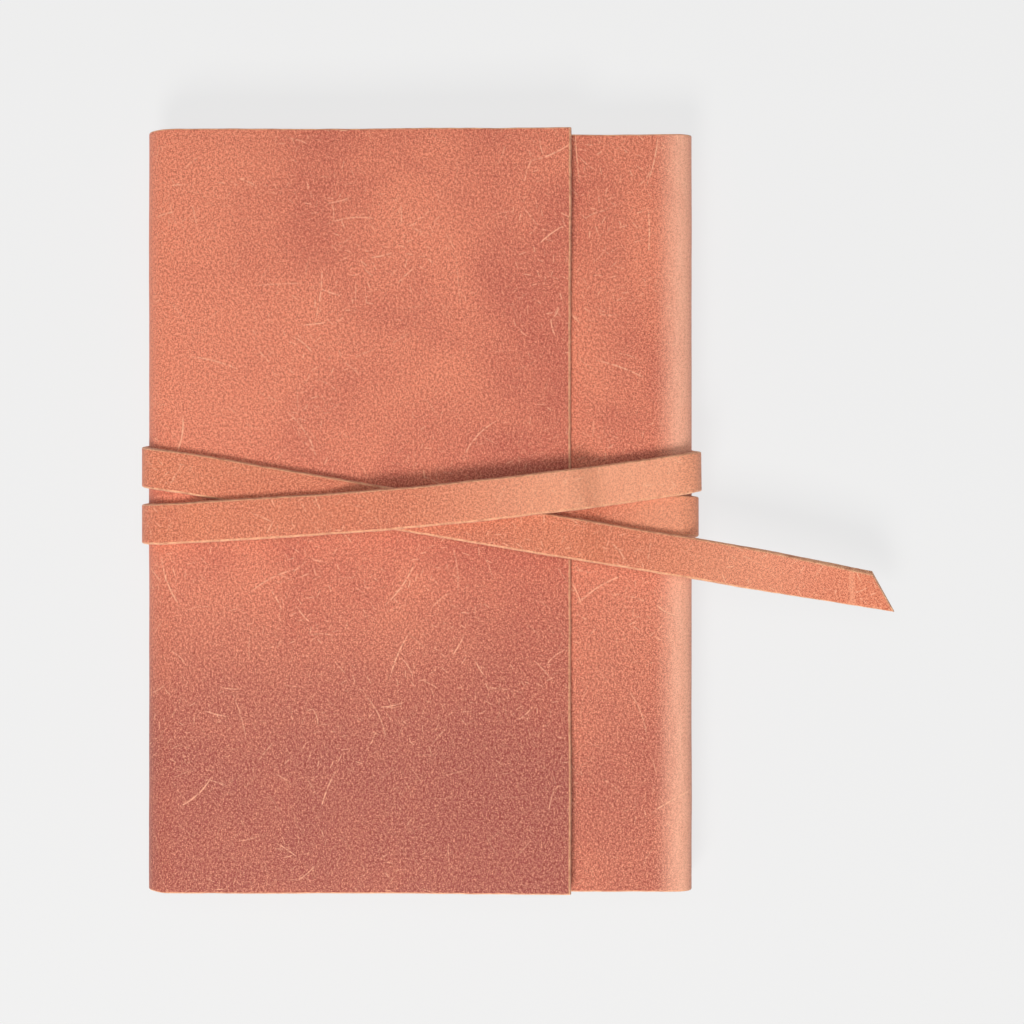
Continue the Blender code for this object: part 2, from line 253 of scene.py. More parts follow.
def relief(u, v, seed):
    """The unevenness of a hide's face at a place on it, in metres."""
    broad_size, broad_height = 0.024, 0.00009
    close_size, close_height = 0.006, 0.00003
    broad = noise.noise(Vector((u / broad_size, v / broad_size, seed)))
    close = noise.noise(Vector((u / close_size, v / close_size, seed + 5.0)))
    return broad_height * broad + close_height * close


def spaced(start, end, step, rounded_start=False, rounded_end=False):
    """Places from start to end about a step apart, and closer where an edge is rounded off."""
    count = max(1, round((end - start) / step))
    places = [start + (end - start) * i / count for i in range(count + 1)]
    close = [EDGE_ROUND * share for share in (0.2, 0.55, 1.0, 2.2)]
    if rounded_start:
        places += [start + c for c in close]
    if rounded_end:
        places += [end - c for c in close]
    return sorted(places)


# ---------------------------------------------------------------- closed sheets

OUTER, EDGE, INNER = 0, 1, 2  # a sheet's finishes
WALL_STEPS = 3
SURFACE_MAP = "surface"
SHARP_FROM = radians(48)


class Sheet:
    """Points, faces, texture coordinates and finishes of a mesh that is put together from closed sheets."""

    def __init__(self):
        self.points = []
        self.coordinates = []
        self.faces = []
        self.finishes = []

    def face(self, corners, finish):
        self.faces.append(corners)
        self.finishes.append(finish)

    def add(self, place, us, vs, thickness, raw=(True, True), edge_round=EDGE_ROUND, uv_start=(0.0, 0.0)):
        """A closed sheet. place(u, v, depth) is a point in it, with depth measured in from its outer face.
        raw says whether it is rounded off at its first and its last u, as it isn't where it meets
        another sheet. It is always rounded off at its first and last v."""
        first = len(self.points)
        count = len(vs)

        def edge_distance(u, v):
            distances = [v - vs[0], vs[-1] - v]
            if raw[0]:
                distances.append(u - us[0])
            if raw[1]:
                distances.append(us[-1] - u)
            return max(min(distances), 0.0)

        def sunk(u, v):
            gap = edge_round - min(edge_distance(u, v), edge_round)
            return edge_round - sqrt(max(edge_round**2 - gap**2, 0.0))

        for u in us:
            outer = [(v, sunk(u, v)) for v in vs]
            wall = []
            low, high = sunk(u, vs[-1]), thickness - sunk(u, vs[-1])
            for k in range(1, WALL_STEPS + 1):
                wall.append(low + (high - low) * k / (WALL_STEPS + 1))
            ring = outer
            ring += [(vs[-1], depth) for depth in wall]
            ring += [(v, thickness - sunk(u, v)) for v in reversed(vs)]
            ring += [(vs[0], depth) for depth in reversed(wall)]
            for v, depth in ring:
                self.points.append(place(u, v, depth))
                beyond = depth if v == vs[-1] else -depth if v == vs[0] else 0.0
                self.coordinates.append((uv_start[0] + u, uv_start[1] + v + beyond))
        size = 2 * count + 2 * WALL_STEPS

        def finish_of(i, j):
            """The finish of the face from ring i to the next and from ring point j to the next."""
            if j < count - 1:
                side, v = OUTER, (vs[j] + vs[j + 1]) / 2
            elif count + WALL_STEPS <= j < 2 * count + WALL_STEPS - 1:
                k = 2 * count + WALL_STEPS - 1 - j
                side, v = INNER, (vs[k] + vs[k - 1]) / 2
            else:
                return EDGE
            u = (us[i] + us[i + 1]) / 2
            return EDGE if edge_distance(u, v) < edge_round else side

        for i in range(len(us) - 1):
            a, b = first + i * size, first + (i + 1) * size
            for j in range(size):
                k = (j + 1) % size
                self.face((a + j, a + k, b + k, b + j), finish_of(i, j))
        for start in (first, first + (len(us) - 1) * size):
            inner = start + 2 * count + WALL_STEPS - 1
            for j in range(count - 1):
                self.face((start + j, start + j + 1, inner - j - 1, inner - j), EDGE)
            right = [start + count - 1 + k for k in range(WALL_STEPS + 2)]
            left = [start] + [start + size - 1 - k for k in range(WALL_STEPS + 1)]
            self.face(tuple(right), EDGE)
            self.face(tuple(left), EDGE)

    def object(self, name, finishes):
        """A mesh object in the scene, with a material for each finish."""
        mesh = bpy.data.meshes.new(name)
        mesh.from_pydata([tuple(p) for p in self.points], [], self.faces)
        layer = mesh.uv_layers.new(name=SURFACE_MAP)
        for loop in mesh.loops:
            layer.data[loop.index].uv = self.coordinates[loop.vertex_index]
        for finish in finishes:
            mesh.materials.append(finish)
        for polygon, finish in zip(mesh.polygons, self.finishes):
            polygon.material_index = min(finish, len(finishes) - 1)
        shaped = bmesh.new()
        shaped.from_mesh(mesh)
        bmesh.ops.recalc_face_normals(shaped, faces=shaped.faces)
        shaped.to_mesh(mesh)
        shaped.free()
        mesh.shade_smooth()
        mesh.set_sharp_from_angle(angle=SHARP_FROM)
        obj = bpy.data.objects.new(name, mesh)
        bpy.context.scene.collection.objects.link(obj)
        return obj


# ---------------------------------------------------------------- materials


def srgb(red, green, blue):
    """A colour given as it looks on a screen, as the linear colour that a shader takes."""
    linear = []
    for value in (red / 255, green / 255, blue / 255):
        linear.append(value / 12.92 if value <= 0.04045 else ((value + 0.055) / 1.055) ** 2.4)
    return (*linear, 1.0)


MM_PER_M = 1000.0
MIX_COLOUR_INPUTS = (0, 6, 7)  # the Mix node's factor and its two colours
MIX_COLOUR_OUTPUT = 2


class Nodes:
    """A material's node tree, with a short call for each kind of node that the finishes use."""

    def __init__(self, name, roughness, specular=0.5, sheen=0.0):
        self.material = bpy.data.materials.new(name)
        self.material.use_nodes = True
        self.tree = self.material.node_tree
        self.shader = self.tree.nodes["Principled BSDF"]
        self.shader.inputs["Roughness"].default_value = roughness
        self.shader.inputs["Specular IOR Level"].default_value = specular
        self.shader.inputs["Sheen Weight"].default_value = sheen
        self.shader.inputs["Sheen Roughness"].default_value = 0.5

    def add(self, kind, settings, values):
        """A node of a kind, with its settings, and with values or links for its sockets."""
        made = self.tree.nodes.new("ShaderNode" + kind)
        for key, value in settings.items():
            setattr(made, key, value)
        for key, value in values.items():
            self.fill(made.inputs[key], value)
        return made

    def fill(self, socket, value):
        if isinstance(value, bpy.types.NodeSocket):
            self.tree.links.new(value, socket)
        else:
            socket.default_value = value

    def millimetres(self, shift=(0.0, 0.0, 0.0)):
        """The surface's own coordinates, in millimetres and moved by shift."""
        uv = self.add("UVMap", {"uv_map": SURFACE_MAP}, {})
        values = {"Vector": uv.outputs["UV"], "Scale": (MM_PER_M, MM_PER_M, MM_PER_M), "Location": shift}
        return self.add("Mapping", {}, values).outputs["Vector"]

    def stretched(self, vector, scale, angle=0.0):
        """Coordinates scaled and then turned, so that a pattern on them is squeezed and turned back."""
        values = {"Vector": vector, "Scale": scale, "Rotation": (0.0, 0.0, angle)}
        return self.add("Mapping", {}, values).outputs["Vector"]

    def turned(self, vector, angle):
        return self.stretched(vector, (1.0, 1.0, 1.0), angle)

    def noise(self, vector, size, detail=3.0, roughness=0.55, distortion=0.0):
        """Noise between 0 and 1, whose patches are about size millimetres."""
        values = {
            "Vector": vector,
            "Scale": 1.0 / size,
            "Detail": detail,
            "Roughness": roughness,
            "Distortion": distortion,
        }
        return self.add("TexNoise", {"noise_dimensions": "2D"}, values).outputs["Fac"]

    def math(self, operation, a, b=0.0, c=0.0):
        made = self.add("Math", {"operation": operation}, {})
        for socket, value in zip(made.inputs, (a, b, c)):
            self.fill(socket, value)
        return made.outputs["Value"]

    def ramp(self, value, start, end, low=0.0, high=1.0):
        """low before start, high after end and a smooth step between."""
        values = {"Value": value, "From Min": start, "From Max": end, "To Min": low, "To Max": high}
        made = self.add("MapRange", {"interpolation_type": "SMOOTHSTEP"}, values)
        return made.outputs["Result"]

    def times(self, a, b):
        return self.math("MULTIPLY", a, b)

    def blended(self, a, share_a, b, share_b):
        """Two values added up in shares."""
        return self.math("MULTIPLY_ADD", a, share_a, self.times(b, share_b))

    def mix(self, factor, a, b):
        """Colour a where factor is 0 and b where it is 1."""
        made = self.add("Mix", {"data_type": "RGBA"}, {})
        for socket, value in zip(MIX_COLOUR_INPUTS, (factor, a, b)):
            self.fill(made.inputs[socket], value)
        return made.outputs[MIX_COLOUR_OUTPUT]

    def scuffs(self, millimetres, cell, length, width, share, bend):
        """Short scratches at random angles, one to a cell, in that share of the cells. All lengths are in
        millimetres, and bend is the most that a scratch leans away from straight."""
        voronoi = self.add(
            "TexVoronoi",
            {"voronoi_dimensions": "2D", "feature": "F1"},
            {"Vector": millimetres, "Scale": 1.0 / cell, "Randomness": 1.0},
        )
        local = self.add("VectorMath", {"operation": "SUBTRACT"}, {})
        self.fill(local.inputs[0], millimetres)
        self.fill(local.inputs[1], voronoi.outputs["Position"])
        chance = self.add("SeparateColor", {}, {"Color": voronoi.outputs["Color"]})
        angle = self.times(chance.outputs["Red"], pi)
        turned = self.add(
            "VectorRotate",
            {"rotation_type": "Z_AXIS"},
            {"Vector": local.outputs["Vector"], "Angle": angle},
        )
        parts = self.add("SeparateXYZ", {}, {"Vector": turned.outputs["Vector"]})
        along, across = parts.outputs["X"], parts.outputs["Y"]
        lean = self.math("MULTIPLY_ADD", chance.outputs["Blue"], 2.0 * bend, -bend)
        curved = self.math("MULTIPLY_ADD", self.times(along, along), lean, across)
        thin = self.ramp(self.math("ABSOLUTE", curved), width * 0.25, width, 1.0, 0.0)
        short = self.ramp(self.math("ABSOLUTE", along), length * 0.25, length * 0.5, 1.0, 0.0)
        chosen = self.ramp(chance.outputs["Green"], 0.0, share, 1.0, 0.0)
        return self.times(self.times(thin, short), chosen)

    def done(self, colour, height=None, bump=0.0, roughness=None):
        """Links the colour, a height in millimetres and a roughness to the shader."""
        self.fill(self.shader.inputs["Base Color"], colour)
        if height is not None:
            values = {"Height": height, "Distance": 0.001, "Strength": bump}
            made = self.add("Bump", {}, values)
            self.fill(self.shader.inputs["Normal"], made.outputs["Normal"])
        if roughness is not None:
            self.fill(self.shader.inputs["Roughness"], roughness)
        return self.material


# Where the cover's colour changes, in millimetres round it and up it
REDDER_FROM_FLAP_EDGE = (18.0, 52.0)
DARKER_FOOT = (-52.0, 12.0)
FOOT_WAVE = 46.0
ROUGHER_FOOT = (-50.0, 0.0)

COVER_SHIFT = (-85.0, 44.0, 2.0)
STRAP_SHIFT = (31.0, 57.0, 0.0)
DARK_SPECK = srgb(140, 66, 50)
PALE_SPECK = srgb(255, 182, 146)
SCRATCH = srgb(255, 196, 160)


def mottling(n, mm, place, patchy, light, main, deep):
    """The wax's clouds of colour, and the darker foot of the cover where there is a deep colour."""
    broad = n.noise(mm, 58.0, detail=2.0, roughness=0.5, distortion=0.3)
    tone = n.blended(patchy, 0.34, broad, 0.66)
    if deep is None:
        return n.mix(n.ramp(tone, 0.36, 0.78), light, main)
    tone = n.math("ADD", tone, n.ramp(place.outputs["X"], *REDDER_FROM_FLAP_EDGE, 0.16, 0.0))
    colour = n.mix(n.ramp(tone, 0.36, 0.78), light, main)
    wavy = n.math("MULTIPLY_ADD", broad, FOOT_WAVE, place.outputs["Y"])
    foot = n.ramp(wavy, *DARKER_FOOT, 1.0, 0.0)
    strength = n.ramp(tone, 0.30, 0.60, 0.70, 0.92)
    off_front = n.ramp(place.outputs["X"], MM_PER_M * S_SPINE, MM_PER_M * S_FRONT, 1.0, 0.5)
    return n.mix(n.times(foot, n.times(strength, off_front)), colour, deep)


def speckled(n, place, speckle, colour):
    """Dark pores and pale nap, both a little stronger at the cover's foot."""
    rougher = n.ramp(place.outputs["Y"], *ROUGHER_FOOT, 1.05, 0.9)
    dark = n.times(rougher, n.ramp(speckle, 0.51, 0.405, 0.0, 0.94))
    pale = n.times(rougher, n.ramp(speckle, 0.50, 0.605, 0.0, 0.76))
    return n.mix(pale, n.mix(dark, colour, DARK_SPECK), PALE_SPECK)


def paled_wax_and_painted_highlight(n, mm, place, speckle, colour, worn, bends):
    """Paler wax where the leather bends, and painted highlight on the spine's corner and on the strap near
    it:
    bends holds a place, a reach and an amount for each.
    """
    if not bends:
        return colour
    streaks = n.noise(n.stretched(mm, (1.0, 0.25, 1.0)), 2.4, detail=4.0, roughness=0.65)
    for centre, reach, amount in bends:
        away = n.math("ABSOLUTE", n.math("SUBTRACT", place.outputs["X"], MM_PER_M * centre))
        pale = n.ramp(away, 0.0, MM_PER_M * reach, amount, 0.0)
        pale = n.times(pale, n.ramp(speckle, 0.40, 0.54, 0.62, 1.0))
        # pales the colour towards worn: wax paled by bending, and painted highlight
        colour = n.mix(n.times(pale, n.ramp(streaks, 0.20, 0.70, 0.80, 1.0)), colour, worn)
    return colour


def scratches(n, mm):
    """Scratches of three lengths, broken here and there. The shorter ones gather where hands rub."""
    scuffed = n.noise(mm, 34.0, detail=2.0, roughness=0.5)
    long_marks = n.scuffs(mm, cell=21.0, length=18.0, width=0.26, share=0.55, bend=0.025)
    middling = n.scuffs(n.turned(mm, 1.1), cell=9.0, length=8.0, width=0.22, share=0.70, bend=0.05)
    middling = n.times(middling, n.ramp(scuffed, 0.40, 0.58, 0.35, 1.0))
    small = n.scuffs(n.turned(mm, 2.3), cell=3.1, length=3.0, width=0.17, share=0.9, bend=0.09)
    small = n.times(small, n.ramp(scuffed, 0.42, 0.60))
    marks = n.math("MAXIMUM", n.math("MAXIMUM", long_marks, middling), small)
    return n.times(marks, n.ramp(n.noise(mm, 1.3, detail=2.0), 0.32, 0.56, 0.15, 1.0))


def grain_side(name, light, main, worn=None, deep=None, bends=(), shift=(0.0, 0.0, 0.0)):
    """Waxed nubuck: mottled by the wax, speckled by its nap and scratched pale. worn is its colour where
    bends pale the wax and where highlight is painted on, and deep its colour at the cover's foot."""
    n = Nodes(name, roughness=0.62, specular=0.22, sheen=0.04)
    mm = n.millimetres(shift)
    place = n.add("SeparateXYZ", {}, {"Vector": n.millimetres()})
    patchy = n.noise(mm, 15.0, detail=4.0, roughness=0.6, distortion=0.3)
    nap = n.noise(mm, 0.80, detail=4.0, roughness=0.9)
    fine = n.noise(n.stretched(mm, (1.0, 1.7, 1.0), radians(24)), 0.34, detail=1.0, roughness=0.8)
    speckle = n.blended(nap, 0.5, fine, 0.5)
    colour = mottling(n, mm, place, patchy, light, main, deep)
    colour = speckled(n, place, speckle, colour)
    colour = paled_wax_and_painted_highlight(n, mm, place, speckle, colour, worn, bends)
    marks = scratches(n, mm)
    colour = n.mix(n.times(marks, 0.80), colour, SCRATCH)
    height = n.math("MULTIPLY_ADD", patchy, 0.08, n.blended(speckle, 0.11, marks, -0.03))
    roughness = n.math("MULTIPLY_ADD", speckle, 0.22, 0.50)
    return n.done(colour, height, 0.6, roughness)


def cut_edge(name, light, dark):
    """The raw cut edge of a hide, with its fibres showing pale."""
    n = Nodes(name, roughness=0.85, specular=0.15, sheen=0.2)
    mm = n.millimetres()
    fibres = n.noise(n.stretched(mm, (1.0, 3.0, 1.0)), 0.5, detail=4.0, roughness=0.75)
    patchy = n.noise(mm, 3.0, detail=3.0)
    tone = n.blended(fibres, 0.7, patchy, 0.3)
    colour = n.mix(n.ramp(tone, 0.36, 0.60), dark, light)
    return n.done(colour, n.times(fibres, 0.10), 0.6)


def flesh_side(name, light, dark):
    """The suede back of a hide."""
    n = Nodes(name, roughness=0.9, specular=0.12, sheen=0.25)
    mm = n.millimetres()
    nap = n.noise(n.stretched(mm, (1.0, 2.2, 1.0), radians(35)), 0.7, detail=4.0, roughness=0.75)
    patchy = n.noise(mm, 16.0, detail=4.0, roughness=0.6)
    tone = n.blended(nap, 0.72, patchy, 0.28)
    colour = n.mix(n.ramp(tone, 0.30, 0.70), dark, light)
    return n.done(colour, n.times(nap, 0.2), 0.6)


def card(name, light, dark):
    """Dark book cloth on the notebook's boards, with a fine square weave."""
    n = Nodes(name, roughness=0.72, specular=0.3)
    mm = n.millimetres()
    threads = []
    for direction in ("X", "Y"):
        values = {"Vector": mm, "Scale": 0.55, "Distortion": 0.6, "Detail": 2.0, "Detail Scale": 2.0}
        wave = n.add("TexWave", {"wave_type": "BANDS", "bands_direction": direction}, values)
        threads.append(wave.outputs["Fac"])
    weave = n.times(*threads)
    worn = n.noise(mm, 9.0, detail=4.0)
    tone = n.blended(weave, 0.6, worn, 0.4)
    return n.done(n.mix(n.ramp(tone, 0.15, 0.70), dark, light), n.times(weave, 0.15), 0.5)


def paper(name, light, dark):
    """Uncoated ivory paper."""
    n = Nodes(name, roughness=0.86, specular=0.2)
    mm = n.millimetres()
    fibres = n.noise(n.stretched(mm, (1.0, 1.8, 1.0), 0.6), 0.9, detail=4.0, roughness=0.7)
    cloud = n.noise(mm, 18.0, detail=3.0)
    tone = n.blended(fibres, 0.8, cloud, 0.2)
    return n.done(n.mix(n.ramp(tone, 0.20, 0.70), dark, light), n.times(fibres, 0.03), 0.3)


def waxed_thread(name, light, dark):
    """Two plies of linen, twisted and waxed."""
    n = Nodes(name, roughness=0.5, specular=0.4)
    mm = n.millimetres()
    values = {"Vector": n.turned(mm, radians(50)), "Scale": 0.7}
    twist = n.add("TexWave", {"wave_type": "BANDS", "bands_direction": "X"}, values)
    fuzz = n.noise(mm, 0.4, detail=3.0)
    tone = n.blended(twist.outputs["Fac"], 0.7, fuzz, 0.3)
    height = n.times(twist.outputs["Fac"], 0.12)
    return n.done(n.mix(n.ramp(tone, 0.2, 0.7), dark, light), height, 0.6)


def floor_finish(name):
    """A pale sweep, partly lit from below as on a light table, so that its shadows stay faint."""
    n = Nodes(name, roughness=0.9, specular=0.0)
    n.shader.inputs["Base Color"].default_value = (*FLOOR_GREY, 1.0)
    n.shader.inputs["Emission Color"].default_value = (*WHITE, 1.0)
    n.shader.inputs["Emission Strength"].default_value = FLOOR_GLOW
    return n.material


# ---------------------------------------------------------------- the hide


def hide_line(s):
    """(x, z, normal x, normal z) of the hide's outer face at s."""
    if s <= S_FOLD:
        return FLAP_EDGE_X - s, FLAP_TOP, 0.0, 1.0
    if s <= S_BACK:
        turn = QUARTER + (s - S_FOLD) / FOLD_RADIUS
        return FORE_EDGE_X + FOLD_RADIUS * cos(turn), FOLD_Z + FOLD_RADIUS * sin(turn), cos(turn), sin(turn)
    if s <= S_SPINE:
        return FORE_EDGE_X + s - S_BACK, BACK_Z, 0.0, -1.0
    if s <= S_FRONT:
        along = s - S_SPINE
        if along <= CORNER:
            turn, z = along / SPINE_RADIUS - QUARTER, SPINE_LOW_Z
        elif along <= CORNER + SPINE_WALL:
            turn, z = 0.0, SPINE_LOW_Z + along - CORNER
        else:
            turn, z = (along - CORNER - SPINE_WALL) / SPINE_RADIUS, SPINE_HIGH_Z
        return SPINE_X + SPINE_RADIUS * cos(turn), z + SPINE_RADIUS * sin(turn), cos(turn), sin(turn)
    return SPINE_X - (s - S_FRONT), FRONT_TOP, 0.0, 1.0


def edge_shift(s, y):
    """How far the hand-cut head or foot edge wanders along Y, shared out over the hide's height."""
    up = y > 0.0
    seed = 3.7 if up else 8.3
    cut = HAND_CUT * (wander(s, 0.021, seed) + 0.5 * wander(s, 0.0034, seed + 1.0))
    if up:
        cut -= HEAD_SHORT * ease(s, S_SPINE - 0.02, S_FRONT + 0.01)
    return cut * ease(abs(y), 0.3 * HALF, HALF)


def flap_lift(s, y):
    """The flap's free corners stand off the front panel, where the strap doesn't hold them down."""
    near_edge = ease(S_FOLD * 0.62 - s, 0.0, S_FOLD * 0.62)
    if y > 0.0:
        return FLAP_LIFT_HEAD * near_edge * ease(y, 0.030, HALF)
    return FLAP_LIFT_FOOT * near_edge * ease(-y, 0.034, HALF)


def hide_point(s, y, depth):
    """A point in the hide, depth in from its outer face."""
    x, z, nx, nz = hide_line(s)
    rise = relief(s, y, 1.0) * (1.0 - depth / HIDE)
    off = rise - depth
    x += nx * off
    z += nz * off
    if s < S_FOLD:
        z += flap_lift(s, y)
        near_edge = 1.0 - ease(s, 0.0, 0.012)
        cut = HAND_CUT * (wander(y, 0.030, 5.1) + 0.5 * wander(y, 0.004, 6.1))
        x += near_edge * (cut + 0.25 * depth)
    return Vector((x, y + edge_shift(s, y), z))


def hide_places(start, end, raw_start, raw_end):
    """Places round the hide from start to end, close together where it bends."""
    stretches = (
        (0.0, S_FOLD, FLAT_STEP),
        (S_FOLD, S_BACK, CURVE_STEP),
        (S_BACK, S_SPINE, FLAT_STEP),
        (S_SPINE, S_FRONT, CURVE_STEP),
        (S_FRONT, S_END, FLAT_STEP),
    )
    places = set()
    for low, high, step in stretches:
        low, high = max(low, start), min(high, end)
        if high > low:
            places.update(spaced(low, high, step, raw_start and low == start, raw_end and high == end))
    return sorted(places)


def hide_pieces(finishes):
    """The hide, in four pieces that meet in the middles of the fold, the back and the spine."""
    fold_middle = S_FOLD + FOLD_TURN / 2
    back_middle = S_BACK + ACROSS / 2
    spine_middle = S_SPINE + SPINE_TURN / 2
    ys = spaced(-HALF, HALF, FLAT_STEP, True, True)
    fold_under = (FORE_EDGE_X, 0.0, BACK_Z)
    fold_out = (FORE_EDGE_X - FOLD_RADIUS, 0.0, FOLD_Z)
    fold_over = (FORE_EDGE_X, 0.0, FLAP_TOP)
    spine_under = (SPINE_X, 0.0, BACK_Z)
    spine_out_low = (SPINE_X + SPINE_RADIUS, 0.0, SPINE_LOW_Z)
    spine_out_high = (SPINE_X + SPINE_RADIUS, 0.0, SPINE_HIGH_Z)
    spine_over = (SPINE_X, 0.0, FRONT_TOP)
    # name, the stretch it covers, its two bodies, where it bends from and to, and what it stands for
    pieces = (
        ("flap_leather", 0.0, fold_middle,
         "fore_edge", "flap", fold_out, fold_over, ("flap_panel",)),
        ("back_leather_fore_edge", fold_middle, back_middle,
         "root", "fore_edge", fold_under, fold_out, ("fore_edge_fold", "back_panel")),
        ("back_leather_spine", back_middle, spine_middle,
         "root", "spine", spine_under, spine_out_low, ("spine_panel", "back_panel")),
        ("front_leather", spine_middle, S_END,
         "spine", "front", spine_out_high, spine_over, ("front_panel",)),
    )
    for name, start, end, body_a, body_b, bend_start, bend_end, stands_for in pieces:
        raw = (start == 0.0, end == S_END)
        sheet = Sheet()
        sheet.add(hide_point, hide_places(start, end, *raw), ys, HIDE, raw)
        obj = sheet.object(name, finishes)
        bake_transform(obj)
        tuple(bend_start)
        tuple(bend_end)
        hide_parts(*stands_for)


# ---------------------------------------------------------------- the strap


def front_height(x):
    """The outer face of the leather on the front, which steps down from the flap to the front panel."""
    return FLAP_TOP + (FRONT_TOP - FLAP_TOP) * ease(x, *STEP_DOWN)


def lift(place):
    """How far the strap is raised over its own earlier turns, a layer at a time."""
    over = place - LAP
    under = place - UNDER_START
    if under >= 0.0:
        return LAYER * ease(under, *UNDER_ONTO_ROOT)
    if over >= 0.0:
        layers = ease(over, *ONTO_FIRST_FOLD_TURN) - ease(over, *DOWN_TO_SPINE)
        layers += ease(over, *ONTO_ROOT) - ease(over, *OFF_ROOT)
        return LAYER * layers
    return 0.0


def girth(place):
    """(x, z, normal x, normal z) of the strap's inner face at a place along its route."""
    off = GAP + lift(place)
    along = place % LAP if place < UNDER_START else place - UNDER_START
    if along <= ACROSS or place >= UNDER_START:
        x = FORE_EDGE_X + along
        return x, front_height(x) + off, 0.0, 1.0
    along -= ACROSS
    if along <= SPINE_TURN:
        if along <= CORNER:
            turn = QUARTER - along / SPINE_RADIUS
            z = SPINE_HIGH_Z
        elif along <= CORNER + SPINE_WALL:
            turn = 0.0
            z = SPINE_HIGH_Z - (along - CORNER)
        else:
            turn = -(along - CORNER - SPINE_WALL) / SPINE_RADIUS
            z = SPINE_LOW_Z
        radius = SPINE_RADIUS + off
        return SPINE_X + radius * cos(turn), z + radius * sin(turn), cos(turn), sin(turn)
    along -= SPINE_TURN
    if along <= ACROSS:
        return SPINE_X - along, BACK_Z - off, 0.0, -1.0
    turn = -QUARTER - (along - ACROSS) / FOLD_RADIUS
    radius = FOLD_RADIUS + off
    return FORE_EDGE_X + radius * cos(turn), FOLD_Z + radius * sin(turn), cos(turn), sin(turn)


def strap_centre(place):
    """The middle of the strap's inner face."""
    x, z, _, _ = girth(place)
    return Vector((x, through(HEIGHTS, place), z))


def strap_edge(place, v, depth):
    """A hand-cut edge's wandering and its slanting cut, both shared out over the strap's width."""
    share = 2.0 * v / STRAP_WIDTH
    v -= share * CUT_SLANT * (1.0 - depth / STRAP_THICKNESS)
    seed = 12.3 if v > 0.0 else 17.9
    cut = 0.00016 * wander(place, 0.016, seed) + 0.00008 * wander(place, 0.0025, seed + 1.0)
    return v + cut * abs(share)


def strap_point(place, v, depth):
    """A point in the wound strap, v across it and depth in from its outer face."""
    _, _, nx, nz = girth(place)
    step = 0.0002
    heading = (strap_centre(place + step) - strap_centre(place - step)).normalized()
    normal = Vector((nx, 0.0, nz))
    side = normal.cross(heading).normalized()
    face = side.cross(heading).normalized()
    if face.dot(normal) < 0.0:
        face = -face
    return strap_centre(place) + side * strap_edge(place, v, depth) + face * (STRAP_THICKNESS - depth)


def tail_point(place, v, depth):
    """The free end, which droops, twists a little and is cut on a slant."""
    t = (place - TAIL_PLACE) / TAIL_LENGTH
    start = strap_centre(TAIL_PLACE)
    end = strap_centre(TAIL_PLACE + TAIL_LENGTH)
    heading = (end - start).normalized()
    up = Vector((0.0, 0.0, 1.0))
    across = up.cross(heading)
    twist = TAIL_TWIST * (ease(t, -0.2, 1.1) - ease(0.0, -0.2, 1.1) * (1.0 - ease(t, 0.0, 0.3)))
    side = across * cos(twist) + up * sin(twist)
    face = heading.cross(side)
    centre = start.lerp(end, t) - up * TAIL_DROOP * t * t
    share = 2.0 * v / STRAP_WIDTH
    slant = heading * TAIL_SLANT / 2 * t**6 * share
    return centre - slant + side * strap_edge(place, v, depth) + face * (STRAP_THICKNESS - depth)


def strap_pieces(finishes):
    vs = spaced(-STRAP_WIDTH / 2, STRAP_WIDTH / 2, STRAP_ACROSS_STEP, True, True)
    wound = Sheet()
    places = spaced(ROOT_PLACE, TAIL_PLACE, STRAP_STEP, True, False)
    wound.add(strap_point, places, vs, STRAP_THICKNESS, (True, False))
    turns = wound.object("wound_strap", finishes)
    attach(turns, "strap")
    covered = [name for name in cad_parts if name.startswith("strap_") and name != "strap_tail"]
    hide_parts(*sorted(covered))

    free = Sheet()
    places = spaced(TAIL_PLACE, TAIL_PLACE + TAIL_LENGTH, STRAP_STEP, False, True)
    free.add(tail_point, places, vs, STRAP_THICKNESS, (False, True))
    tail = free.object("strap_free_end", finishes)
    start = strap_centre(TAIL_PLACE)
    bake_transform(tail)
    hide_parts("strap_tail")


def fibre(sheet, root, direction, droop, length, radius):
    """One loose fibre of a cut edge, tapering as it leans over."""
    first = len(sheet.points)
    steps, sides = 3, 3
    across = direction.cross(Vector((0.0, 0.0, 1.0))).normalized()
    up = across.cross(direction).normalized()
    for i in range(steps + 1):
        t = i / steps
        centre = root + direction * length * t + droop * length * t * t
        thin = radius * (1.0 - 0.75 * t)
        for k in range(sides):
            turn = 2 * pi * k / sides
            sheet.points.append(centre + (across * cos(turn) + up * sin(turn)) * thin)
            sheet.coordinates.append((root.x + length * t, root.y + radius * turn))
    for i in range(steps):
        a, b = first + i * sides, first + (i + 1) * sides
        for k in range(sides):
            sheet.face((a + k, a + (k + 1) % sides, b + (k + 1) % sides, b + k), OUTER)
    sheet.face((first, first + 1, first + 2), OUTER)
    last = first + steps * sides
    sheet.face((last, last + 1, last + 2), OUTER)


